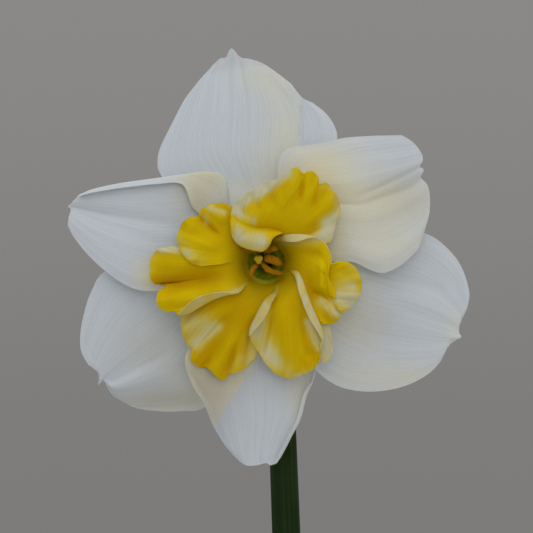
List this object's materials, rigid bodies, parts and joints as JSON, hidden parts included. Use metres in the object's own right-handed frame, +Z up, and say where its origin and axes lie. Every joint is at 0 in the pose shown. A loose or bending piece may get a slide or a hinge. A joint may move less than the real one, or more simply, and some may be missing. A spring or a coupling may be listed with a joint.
{
  "type": "potted split-corona daffodil",
  "caption": "White daffodil bloom with a ruffled yellow split corona on an upright scape, with strap leaves, growing from a bulb in a plain round clay pot.",
  "frame": {"origin": "centre of the pot's underside", "axes": "+Z up, along the stem; the bloom looks along -Y, and +X is to the right of who looks at it"},
  "size_m": [0.1462, 0.1472, 0.435],
  "materials": {
    "clay": "unglazed fired clay, dry and slightly chalky",
    "soil": "crumbly dark potting compost",
    "tunic": "thin papery brown bulb skin",
    "scape": "smooth green stem with a faint waxy bloom",
    "leaf": "smooth blue-green strap leaf with fine lengthwise veins",
    "tepal": "thin white petal with fine lengthwise veins",
    "corona": "thin golden yellow petal with white and cream margins",
    "tube": "smooth yellow-green tube",
    "style": "pale yellow stigma on a slim style",
    "anther": "powdery orange-brown anthers",
    "spathe": "dry translucent papery sheath"
  },
  "bodies": {
    "root": {"pot": "clay", "soil": "soil", "bulb": "tunic", "scape": "scape", "leaf_1": "leaf", "leaf_2": "leaf", "leaf_3": "leaf", "leaf_4": "leaf", "leaf_5": "leaf", "leaf_6": "leaf", "perianth": "tepal", "corona": "corona", "floral_tube": "tube", "style": "style", "stamens": "anther", "ovary": "scape", "spathe": "spathe"}
  },
  "joints": []
}
